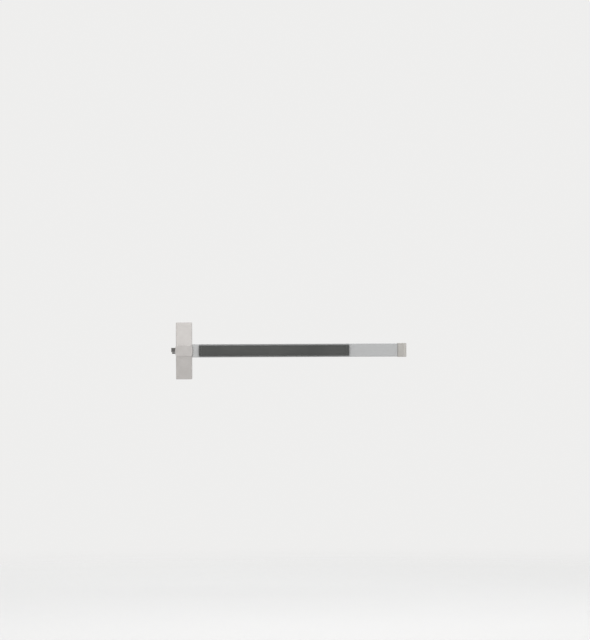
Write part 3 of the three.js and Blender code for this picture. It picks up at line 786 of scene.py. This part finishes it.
SCREW_HEAD = 3.5
THREAD_PITCH = 0.7
THREAD_DEPTH = 0.25
RECESS_ARM = (1.9, 0.42)  # half length and half width
RECESS_DEPTH = 1.0
RECESS_TAPER = 0.55  # its floor's size beside its mouth's
RIVET_CROWN = {"radius": 2.8, "height": 1.2}
PIN_RADIUS = 2.5
PIN_HOLE = 2.8
LATCH_PIN_RADIUS = 3.0
CLIP_GROOVE = 2.2  # radius of the latch pin inside its clip
CLIP = {"outside": 5, "inside": 2.5, "mouth": 1.6}


def recess_arm(axis, centre, half, face, way):
    """One arm of a driver's recess: a wedge that narrows into a screw's head."""
    place = PLACED[axis]
    points = []
    for share, level in ((1, face + way * 0.2), (RECESS_TAPER, face - way * RECESS_DEPTH)):
        for u, v in ((-1, -1), (1, -1), (1, 1), (-1, 1)):
            a, b = centre[0] + u * half[0] * share, centre[1] + v * half[1] * share
            points.append(place(a, b, level))
    sides = [[i, (i + 1) % 4, 4 + (i + 1) % 4, 4 + i] for i in range(4)]
    return solid(points, [[0, 1, 2, 3], [7, 6, 5, 4]] + sides)


def screw(node, axis, way, head_height, shank):
    """A threaded screw whose head faces the `way` end of an axis, with a driver's cross recess."""
    low, high = mm_box(node)
    index = "xyz".index(axis)
    tip, face = (low[index], high[index]) if way > 0 else (high[index], low[index])
    centre = across(axis, (low + high) / 2)
    seat = face - way * head_height
    profile = [
        (0, face), (SCREW_HEAD - 0.5, face), (SCREW_HEAD - 0.12, face - way * 0.2),
        (SCREW_HEAD, face - way * 0.5), (SCREW_HEAD, seat), (shank, seat),
    ]
    for turn in range(int((abs(seat - tip) - 1.0) / THREAD_PITCH)):
        root = seat - way * (0.3 + turn * THREAD_PITCH)
        profile += [(shank - THREAD_DEPTH, root), (shank, root - way * THREAD_PITCH / 2)]
    profile += [(shank - 0.3, tip + way * 0.5), (shank - 0.7, tip), (0, tip)]
    made = turned(axis, profile, centre, sides=32)
    arms = (RECESS_ARM, RECESS_ARM[::-1])
    return cut(made, *(recess_arm(axis, centre, half, face, way) for half in arms))


def make_screws():
    """The covers' screws along Z, and those of the rail, its bracket and the retractor along Y."""
    covers = [f"head_cover_screw_{number}" for number in (1, 2, 3, 4)]
    for node in covers + ["end_cap_screw_top", "end_cap_screw_bottom"]:
        way = 1 if mm_box(node)[0].z > 0 else -1
        dress(screw(node, "z", way, 1.3, 1.8), node, "turned", "zinc_steel")
    rail = [f"{place}_{edge}" for place in RAIL_SCREWS for edge in EDGES]
    for node in rail + ["retractor_screw"]:
        body = "rod" if node == "retractor_screw" else STILL
        dress(screw(node, "y", -1, 2.0, 2.0), node, "turned", "zinc_steel", body)


def make_rivets():
    """Domed rivets that hold the cranks' brackets to the rail."""
    radius, height = RIVET_CROWN["radius"], RIVET_CROWN["height"]
    for node in (f"bracket_rivet_{side}_{edge}" for side in SIDES for edge in EDGES):
        low, high = mm_box(node)
        seat = low.y + height
        profile = [(0, low.y)]
        for angle in range(15, 91, 15):
            turn = math.radians(angle)
            profile.append((radius * math.sin(turn), seat - height * math.cos(turn)))
        profile += [(1.6, seat), (1.6, high.y - 0.3), (1.3, high.y), (0, high.y)]
        made = turned("y", profile, across("y", (low + high) / 2), sides=32)
        dress(made, node, "turned", "zinc_steel")


def pin(node, radius, head_radius, head_height):
    """A vertical pin with a flat head at its top."""
    low, high = mm_box(node)
    seat = high.z - head_height
    profile = [
        (0, low.z), (radius - 0.5, low.z), (radius, low.z + 0.5), (radius, seat),
        (head_radius - 0.2, seat), (head_radius, seat + 0.2), (head_radius, high.z - 0.4),
        (head_radius - 0.4, high.z), (0, high.z),
    ]
    return turned("z", profile, across("z", (low + high) / 2), sides=40)


def make_pins():
    """The pivot pins, and the plain pin in the latch's tail."""
    for side in SIDES:
        node = f"crank_pin_{side}"
        dress(pin(node, PIN_RADIUS, 4.1, 1.7), node, "turned", "zinc_steel")
        node = f"lug_pin_{side}"
        dress(pin(node, PIN_RADIUS, 3.7, 1.4), node, "turned", "zinc_steel", "pad")
    centre = across("z", PIVOT)
    low, high = mm_box("latch_pin_clip")
    groove = cut(
        bar("z", LATCH_PIN_RADIUS + 1.2, low.z - 0.2, high.z + 0.2, centre),
        bar("z", CLIP_GROOVE, low.z - 1, high.z + 1, centre),
    )
    made = cut(pin("latch_pin", LATCH_PIN_RADIUS, 4.6, 1.7), groove)
    dress(made, "latch_pin", "turned", "zinc_steel")
    low, high = mm_box("latch_tail_pin")
    profile = [(0, low.z), (2, low.z), (2, high.z - 0.5), (1.5, high.z), (0, high.z)]
    made = turned("z", profile, across("z", (low + high) / 2), sides=32)
    dress(made, "latch_tail_pin", "turned", "zinc_steel", "latch")


def make_clip():
    """The open ring that holds the latch's pivot pin."""
    low, high = mm_box("latch_pin_clip")
    x, y = PIVOT.x, PIVOT.y
    ring = cut(
        bar("z", CLIP["outside"], low.z, high.z, (x, y)),
        bar("z", CLIP["inside"], low.z - 1, high.z + 1, (x, y)),
        box((x - CLIP["mouth"], x + CLIP["mouth"]), (y - 8, y), (low.z - 1, high.z + 1)),
    )
    dress(ring, "latch_pin_clip", "ring", "spring_steel")


def make_bumpers():
    """Rubber bumpers with a waist, on the guide posts."""
    for side in SIDES:
        node = f"pad_bumper_{side}"
        low, high = mm_box(node)
        top, base = low.y, high.y
        profile = [
            (0, base), (5.6, base), (6, base - 0.5), (6, base - 3.4), (5.2, base - 3.9),
            (5.2, base - 5.1), (6, base - 5.6), (6, base - 7.8), (5.6, base - 8.9),
            (4.8, top + 0.3), (3.8, top), (0, top),
        ]
        made = turned("y", profile, across("y", (low + high) / 2))
        dress(made, node, "moulded", "rubber")


# ---- Springs ----

TURN_STEPS = 28
WIRE_SIDES = 10


def coil_path(axis, radius, wire, start, end, centre, turns):
    """Points along a coil's wire, each with its outward direction; the end turns are closed up."""
    steps = int(turns * TURN_STEPS)
    closed = min(0.9, turns / 4)  # turns lying flat at each end
    sign = 1 if end > start else -1
    free = abs(end - start) - 2 * wire - 4 * wire * closed
    path = []
    for i in range(steps + 1):
        turn = turns * i / steps
        share = min(max((turn - closed) / (turns - 2 * closed), 0), 1)
        rise = 2 * wire * min(turn, closed) + 2 * wire * max(turn - (turns - closed), 0)
        middle = Vector(PLACED[axis](*centre, start + sign * (wire + rise + free * share)))
        angle = 2 * math.pi * turn
        outward = Vector(PLACED[axis](math.cos(angle), math.sin(angle), 0))
        path.append((middle + outward * radius, outward))
    return path


def coil(axis, radius, wire, start, end, centre, turns):
    """A coil of round wire along an axis."""
    path = coil_path(axis, radius, wire, start, end, centre, turns)
    last = len(path) - 1
    points, faces = [], []
    for i, (place, outward) in enumerate(path):
        ahead = (path[min(i + 1, last)][0] - path[max(i - 1, 0)][0]).normalized()
        up = ahead.cross(outward).normalized()
        for a, b in circle((0, 0), wire, WIRE_SIDES):
            points.append(place + outward * a + up * b)
    for i in range(last):
        near, far = i * WIRE_SIDES, (i + 1) * WIRE_SIDES
        for k in range(WIRE_SIDES):
            j = (k + 1) % WIRE_SIDES
            faces.append([near + k, near + j, far + j, far + k])
    faces.append(list(range(WIRE_SIDES)))
    faces.append([last * WIRE_SIDES + k for k in reversed(range(WIRE_SIDES))])
    return solid(points, faces)


def make_spring(node, *shape):
    """A CAD spring's wound wire."""
    made = coil(*shape)
    dress(made, node, "wound", "spring_steel")
    return made


def make_springs():
    """The pad's and the rod's springs, which shorten in use, and the bolts' torsion springs."""
    for side in SIDES:
        low, high = mm_box(f"pad_spring_{side}")
        x = (low.x + high.x) / 2
        made = make_spring(f"pad_spring_{side}", "y", 8.6, 0.9, high.y, low.y, (0, x), 7)
        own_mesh(made)
    low, high = mm_box("rod_spring")
    y = (low.y + high.y) / 2
    made = make_spring("rod_spring", "x", 4.4, 0.7, low.x, high.x, (y, 0), 9)
    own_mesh(made)
    for node in ("latch_spring", "deadlatch_spring"):
        low, high = mm_box(node)
        make_spring(node, "z", 4.1, 0.5, low.z, high.z, across("z", PIVOT), 2.25)


# ---- Chassis and brackets ----

TONGUE = (-5.3, -2.8)  # Y of the tabs on the rail's floor
TONGUE_Z = (9, 21)
BEND = 2.6  # outside radius
CHASSIS_MIDDLE = 30  # half height of the flat stretch, between the flanges
CHASSIS_FLANGE = 12
CHASSIS_WINDOW = {"x": (-9, 9), "z": (42, 66)}
DOOR_HOLE = {"radius": 3.4, "x": 15, "z": 82}
SCREW_TAB = {"x": (-22, 22), "y": (-24, -1)}
PIN_LUG = {"x": (-24, -8), "y": (-21, -1)}
PIN_LUG_Z = {1: (18, 20.5), -1: (-18, -15.5)}  # above and below the bolts
ARM_ROOT = (18, 26)  # X of the step from the chassis to its arms
ARM_LEFT = 24
BRACKET_PLATE = {"left": 812.6, "front": -3}
BRACKET_TONGUE = {"right": 816, "half": 16}
BRACKET_EAR = (817, 833)
BRACKET_HOLE = {"radius": 3.3, "x": 825, "z": 11}


def flanged_sheet(side, flange, z0, z1):
    """A sheet with a flange bent forward along each side."""
    inner = side - SHEET
    outline = [(-side, -flange)] + arc((BEND - side, -BEND), BEND, 180, 90, 5)
    outline += arc((side - BEND, -BEND), BEND, 90, 0, 5)
    outline += [(side, -flange), (inner, -flange), (inner, -SHEET)]
    return prism("z", outline + [(-inner, -SHEET), (-inner, -flange)], z0, z1)


def make_chassis():
    """The case's back plate: lugs for the latch's pin, tabs for the cover and arms for the rail."""
    side, arm_end, end = -mm_box("head_chassis")[0].x, *mm_box("head_chassis")[1].xz
    cover_screw = mm_middle("head_cover_screw_1")
    rail_screw = mm_middle("rail_joint_screw_upper")
    middle = CHASSIS_MIDDLE + OVERLAP
    sheet = box((-side, side), (-SHEET, 0), (-middle, middle))
    parts, holes = [], [bar("z", PIVOT_HOLE, -25, 25, across("z", PIVOT))]
    for way in (1, -1):
        parts.append(flanged_sheet(side, CHASSIS_FLANGE, way * CHASSIS_MIDDLE, way * end))
        parts.append(slab("z", SCREW_TAB["x"], SCREW_TAB["y"], 3, way * (end - SHEET), way * end))
        parts.append(slab("z", PIN_LUG["x"], PIN_LUG["y"], 4, *PIN_LUG_Z[way]))
        arm = [way * z for z in TONGUE_Z]
        parts.append(box(ARM_ROOT, (TONGUE[0], -1), arm))
        parts.append(slab("y", arm, (ARM_LEFT, arm_end), 3, *TONGUE))
        holes.append(bar("y", SCREW_HOLE, *FLOOR_CUT, (way * rail_screw.z, rail_screw.x)))
        window = [way * z for z in CHASSIS_WINDOW["z"]]
        holes.append(slab("y", window, CHASSIS_WINDOW["x"], 2, -PAST, 1))
        for edge in (1, -1):
            place = (edge * cover_screw.x, cover_screw.y)
            holes.append(bar("z", COVER_SCREW_HOLE, way * (end - PAST), way * (end + PAST), place))
            place = (way * DOOR_HOLE["z"], edge * DOOR_HOLE["x"])
            holes.append(bar("y", DOOR_HOLE["radius"], -PAST, 1, place))
    body = rounded(cut(joined(sheet, *parts), *holes), 0.25)
    dress(body, "head_chassis", "sheet", "zinc_steel")


def make_end_bracket():
    """The plate under the end cap, with the cap's two ears and the rail's tongue."""
    low, high = mm_box("end_bracket")
    half = high.z
    cap_screw = across("z", mm_middle("end_cap_screw_top"))
    left, front = BRACKET_PLATE["left"], BRACKET_PLATE["front"]
    plate = slab("y", (-half, half), (left, high.x), 2, front, high.y)
    tongue = BRACKET_TONGUE["half"]
    parts = [slab("y", (-tongue, tongue), (low.x, BRACKET_TONGUE["right"]), 3, *TONGUE)]
    holes = []
    for way, edge in ((1, "upper"), (-1, "lower")):
        parts.append(slab("z", BRACKET_EAR, (low.y, -1), 4, way * (half - SHEET), way * half))
        reach = (way * (half - PAST), way * (half + PAST))
        holes.append(bar("z", COVER_SCREW_HOLE, *reach, cap_screw))
        holes.append(floor_hole(f"end_bracket_screw_{edge}", SCREW_HOLE))
        place = (way * BRACKET_HOLE["z"], BRACKET_HOLE["x"])
        holes.append(bar("y", BRACKET_HOLE["radius"], *FLOOR_CUT, place))
    body = rounded(cut(joined(plate, *parts), *holes), 0.25)
    dress(body, "end_bracket", "sheet", "zinc_steel")


# ---- Linkage ----

PAD_ARM = 30  # of a crank, from its pivot
ROD_ARM = 21.5
CRANK_HALF = 3  # of a crank's thickness
CRANK_HUB = {"radius": 6, "half": 5.8}
CRANK_NOSE = 3.6
CRANK_EAR = (6.4, 8.4)  # Z of its bracket's ears, and below it the same
LUG_EAR = (3.5, 5.9)
THROUGH_Y, THROUGH_Z = (-20, 0), (-12, 12)  # of cutters through the linkage
ROD_Y = (-11.3, -7.3)
ROD_MIDDLE = sum(ROD_Y) / 2
ROD_HALF = 6  # of its height
ROD_TAIL = 3
HOOK_LEFT = 14  # X of the retractor's upright
PIN_NOTCH = 2.5  # half width, round the latch's tail pin


def make_crank(side):
    """A right-angle lever with a slot for the pad's pin and a nose in the rod's window."""
    pivot = joint_place(f"crank_{side}_turn")
    half = CRANK_HALF
    lever = joined(
        bar("z", CRANK_HUB["radius"], -CRANK_HUB["half"], CRANK_HUB["half"], (0, 0)),
        prism("z", link((-PAD_ARM - 0.4, 0), 5.4, (0, 0), 4.8), -half, half),
        prism("z", link((0, 0), 4.4, (0, 16), 2.8), -half, half),
        bar("z", CRANK_NOSE, -half, half, (0, ROD_ARM)),
        box((-2.7, 2.7), (15, ROD_ARM), (0.02 - half, half - 0.02)),
    )
    slot = prism("z", link((-PAD_ARM - 0.8, 0), PIN_HOLE, (-PAD_ARM, 0), PIN_HOLE), *THROUGH_Z)
    cut(lever, slot, bar("z", PIN_HOLE, *THROUGH_Z, (0, 0)))
    rounded(lever, 0.35)
    tilt = Matrix.Rotation(math.atan(joint_travel("pad_push") / 2 / PAD_ARM), 4, "Z")
    lever.data.transform(Matrix.Translation(pivot * MM) @ tilt)
    dress(lever, f"bell_crank_{side}", "lever", "zinc_steel", f"crank_{side}")


def clevis(base, ear, ear_z, centre):
    """A base with two ears, bored for a pin."""
    ears = [prism("z", ear, *(way * z for z in ear_z)) for way in (1, -1)]
    return cut(joined(base, *ears), bar("z", PIN_HOLE, *THROUGH_Z, centre))


def make_crank_bracket(side):
    """The riveted clevis that holds a crank's pivot pin."""
    node = f"crank_bracket_{side}"
    x, y = across("z", joint_place(f"crank_{side}_turn"))
    base = slab("y", (-17, 17), (x - 8, x + 8), 3, -4.8, TONGUE[1])
    ear = [(x - 6.9, -3), (x - 6.9, -9)] + arc((x, y), 5.2, 180, 360, 20)
    ear += [(x + 6.9, -9), (x + 6.9, -3)]
    holes = [floor_hole(f"bracket_rivet_{side}_{edge}", RIVET_HOLE) for edge in EDGES]
    bracket = cut(clevis(base, ear, CRANK_EAR, (x, y)), *holes)
    dress(rounded(bracket, 0.25), node, "sheet", "zinc_steel")


def make_lug(side):
    """The clevis on the pad's carrier."""
    node = f"pad_lug_{side}"
    low, high = mm_box(node)
    x, y = across("z", mm_middle(f"lug_pin_{side}"))
    base = slab("y", (low.z, high.z), (low.x, high.x), 3, low.y, low.y + 2.4)
    ear = [(x - 6, low.y + 0.3), (x - 6, y - 6)] + arc((x, y), 4.6, 180, 0, 20)
    ear += [(x + 6, y - 6), (x + 6, low.y + 0.3)]
    lug = rounded(clevis(base, ear, LUG_EAR, (x, y)), 0.25)
    dress(lug, node, "clevis", "zinc_steel", "pad")


def make_guide_post(side):
    """A moulded post with a window for the rod and a stem for the pad's bumper."""
    node = f"guide_post_{side}"
    low, high = mm_box(node)
    x = mm_middle(node).x
    block = slab("y", (low.z, high.z), (low.x, high.x), 2, -15, high.y)
    room = ROD_HALF + 0.4
    window = box((x - 13, x + 13), (ROD_Y[0] - 0.4, ROD_Y[1] + 0.4), (-room, room))
    post = rounded(cut(joined(block, bar("y", 5, low.y, -14, (0, x))), window), 0.5, 3)
    dress(post, node, "moulded", "nylon")


def make_rod_spring_bracket():
    """An upright on the rail's floor that the rod's spring pushes on, bored for the rod's tail."""
    node = "rod_spring_bracket"
    low, high = mm_box(node)
    upright = slab("x", (low.y, high.y), (low.z, high.z), 2, low.x, low.x + SHEET)
    foot = slab("y", (low.z, high.z), (low.x + 0.5, high.x), 1.5, *TONGUE)
    body = cut(joined(upright, foot), bar("x", 3.5, low.x - PAST, low.x + PAST, (ROD_MIDDLE, 0)))
    dress(rounded(body, 0.25), node, "sheet", "zinc_steel")


def make_rod():
    """The pull rod: a flat strip with a window for each crank's nose, and a round tail."""
    low, high = mm_box("pull_rod")
    shoulder = mm_box("rod_spring")[0].x - GAP
    screw_place = across("y", mm_middle("retractor_screw"))
    strip = slab("y", (-ROD_HALF, ROD_HALF), (low.x, shoulder), 1, *ROD_Y)
    tail = bar("x", ROD_TAIL, shoulder - 1, high.x, (ROD_MIDDLE, 0))
    cut(tail, box((0, high.x + PAST), (ROD_Y[0] - PAST, ROD_Y[0]), THROUGH_Z))
    windows = []
    for side in SIDES:
        middle = joint_place(f"crank_{side}_turn").x - joint_travel("rod_pull") / 2
        windows.append(slab("y", (-3.5, 3.5), (middle - 4, middle + 4), 1, *THROUGH_Y))
    rod = cut(joined(strip, tail), *windows, bar("y", SCREW_HOLE, *THROUGH_Y, screw_place))
    dress(rounded(rod, 0.25), "pull_rod", "bar", "zinc_steel", "rod")


def make_retractor():
    """A stepped hook on the rod's end, with an open notch round the latch's tail pin."""
    low, high = mm_box("retractor")
    pin_x = mm_middle("latch_tail_pin").x
    screw_place = across("y", mm_middle("retractor_screw"))
    upright_end = HOOK_LEFT + SHEET
    hook = joined(
        slab("y", (-ROD_HALF, ROD_HALF), (HOOK_LEFT + 0.2, high.x), 2, high.y - SHEET, high.y),
        box((HOOK_LEFT, upright_end), (low.y, high.y), (-ROD_HALF, high.z)),
        slab("z", (low.x, upright_end), (low.y, -16.6), 1.2, high.z - 2.2, high.z),
    )
    notch = box((pin_x - PIN_NOTCH, pin_x + PIN_NOTCH), (-23.6, -16), (14, 20))
    cut(hook, notch, bar("y", SCREW_HOLE, *THROUGH_Y, screw_place))
    dress(rounded(hook, 0.2), "retractor", "hook", "zinc_steel", "rod")


# ---- The CAD node that stays ----


def finish_carrier():
    """Gives the pad's carrier its finish, joins its facets into flat faces and eases its edges."""
    carrier = frame["nodes"]["pad_carrier"]
    carrier.data.materials.clear()
    carrier.data.materials.append(FINISHES["zinc_steel"].material)
    weld = carrier.modifiers.new("weld", "WELD")
    weld.merge_threshold = 0.002 * MM
    flat = carrier.modifiers.new("flat", "DECIMATE")
    flat.decimate_type = "DISSOLVE"
    flat.angle_limit = math.radians(1)
    bevel(carrier, 0.25, 2, 40)


# ---- Stage, in metres ----

CAMERA = {"right": 0.4199, "back": 16.0, "rise": 0.1149}  # from the head's middle on the door
CAMERA_LENS = 237.6
CAMERA_ROLL = 0.25  # degrees
FLOOR_DROP = 0.95  # below the bar
FLOOR_REACH = 9.0
FLOOR_FADE = (0.6, 4.0)  # from here to here, measured from the floor's middle
MIDDLE = (cad_bounds[0] + cad_bounds[1]) / 2
SOFTBOXES = (  # name, place, target, width, height, radiance, where 1 is as bright as white paper
    ("key", (MIDDLE.x + 0.6, -2.0, 3.2), MIDDLE, 3.0, 2.0, 2.0),
    ("front", (MIDDLE.x, -3.4, 1.25), MIDDLE, 4.5, 1.4, 1.64),
    ("low", (MIDDLE.x, -3.6, -0.45), MIDDLE, 4.5, 0.8, 0.72),
    ("right", (MIDDLE.x + 6.0, -1.8, 0.8), MIDDLE, 4.0, 4.0, 2.3),
    ("left", (MIDDLE.x - 6.0, -1.8, 0.8), MIDDLE, 4.0, 4.0, 0.7),
    ("overhead", (MIDDLE.x, 0.9, 4.5), (MIDDLE.x, 0.9, 0), 6.0, 5.0, 0.8),
    ("back", (MIDDLE.x - 1.0, 3.2, 2.4), MIDDLE, 4.0, 3.0, 1.2),
)


def make_camera():
    """A long lens, level and square to the door."""
    data = bpy.data.cameras.new("camera")
    data.lens = CAMERA_LENS
    camera = new_object("camera", data)
    camera.location = (CAMERA["right"], -CAMERA["back"], CAMERA["rise"])
    camera.rotation_euler = (math.radians(90), math.radians(CAMERA_ROLL), 0)
    bpy.context.scene.camera = camera


def make_floor():
    """A wide pale floor that fades out before its edge."""
    rim = [(a, b, 0) for a, b in circle((0, 0), FLOOR_REACH, 96)]
    mesh = bpy.data.meshes.new("floor")
    mesh.from_pydata(rim, [], [list(range(len(rim)))])
    floor = new_object("floor", mesh)
    floor.location = (MIDDLE.x, 0, -FLOOR_DROP)
    pale = Finish("floor", Roughness=0.9, Specular_IOR_Level=0.1, Base_Color=(0.79, 0.787, 0.78, 1))
    away = pale.node("VectorMath", {0: pale.coords}, operation="LENGTH").outputs["Value"]
    links = {"Value": away, "From Min": FLOOR_FADE[0], "From Max": FLOOR_FADE[1]}
    fade = pale.node("MapRange", links, interpolation_type="SMOOTHSTEP").outputs["Result"]
    clear = pale.node("BsdfTransparent").outputs[0]
    mix = pale.node("MixShader", {0: fade, 1: pale.shader.outputs[0], 2: clear})
    output = pale.tree.nodes["Material Output"]
    pale.tree.links.new(mix.outputs[0], output.inputs["Surface"])
    mesh.materials.append(pale.material)


def make_world():
    """Pale studio surround: one tone for the eye and a dimmer one for its light."""
    world = bpy.data.worlds.new("studio")
    world.use_nodes = True
    bpy.context.scene.world = world
    nodes, links = world.node_tree.nodes, world.node_tree.links
    mix = nodes.new("ShaderNodeMixShader")
    links.new(nodes.new("ShaderNodeLightPath").outputs["Is Camera Ray"], mix.inputs[0])
    for socket, node, colour, strength in (
        (1, nodes.new("ShaderNodeBackground"), (0.98, 0.99, 1.0, 1), 0.5),
        (2, nodes["Background"], (0.86, 0.857, 0.85, 1), 1.0),
    ):
        node.inputs["Color"].default_value = colour
        node.inputs["Strength"].default_value = strength
        links.new(node.outputs[0], mix.inputs[socket])
    links.new(mix.outputs[0], nodes["World Output"].inputs["Surface"])


def make_lights():
    """Soft light panels all round, hidden from the camera."""
    for name, place, target, width, height, radiance in SOFTBOXES:
        data = bpy.data.lights.new(name, "AREA")
        data.shape = "RECTANGLE"
        data.size = width
        data.size_y = height
        data.energy = radiance * math.pi * width * height
        light = new_object(name, data)
        light.location = place
        direction = Vector(target) - Vector(place)
        light.rotation_euler = direction.to_track_quat("-Z", "Y").to_euler()
        light.visible_camera = False


bpy.context.scene.view_settings.view_transform = "Standard"
make_camera()
make_world()
make_lights()
make_floor()
make_head_cover()
make_latches()
make_rail()
# the short cover takes the paler copy of the rail's finish: painted light against the shade its
# neighbours cast
make_rail_cover("left", "aluminium_with_painted_light")
make_rail_cover("right", "satin_aluminium")
make_end_cap()
make_pad()
make_screws()
make_rivets()
make_pins()
make_bumpers()
make_springs()
make_chassis()
make_clip()
make_end_bracket()
for end in SIDES:
    make_crank(end)
    make_crank_bracket(end)
    make_lug(end)
    make_guide_post(end)
make_rod_spring_bracket()
make_rod()
make_retractor()
finish_carrier()
